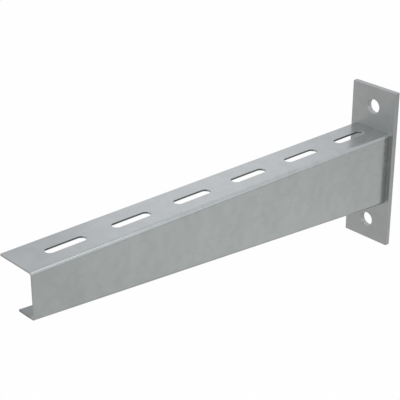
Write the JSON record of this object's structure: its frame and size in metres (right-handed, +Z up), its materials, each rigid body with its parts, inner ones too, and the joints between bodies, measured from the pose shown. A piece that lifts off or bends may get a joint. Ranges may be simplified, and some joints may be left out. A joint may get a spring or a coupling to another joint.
{
  "type": "cable tray wall bracket",
  "caption": "Galvanised steel cantilever bracket: a tapered arm folded from sheet, slotted along its top flange, welded to a flat wall plate with a bolt hole above and below.",
  "frame": {"origin": "on the wall plate's wall face, midway between the centres of the two bolt holes", "axes": "+Z up, +Y into the wall, the arm runs out along -Y with its web on the +X side"},
  "size_m": [0.04, 0.314, 0.12],
  "materials": {
    "plate_zinc": "hot-dip galvanised, satin grey",
    "sheet_zinc": "hot-dip galvanised, satin grey with a faint mottle",
    "weld_zinc": "weld bead under the zinc, satin grey"
  },
  "bodies": {
    "root": {"wall_plate": "plate_zinc", "arm": "sheet_zinc", "flange_weld": "weld_zinc", "web_weld": "weld_zinc", "lip_weld": "weld_zinc"}
  },
  "joints": []
}
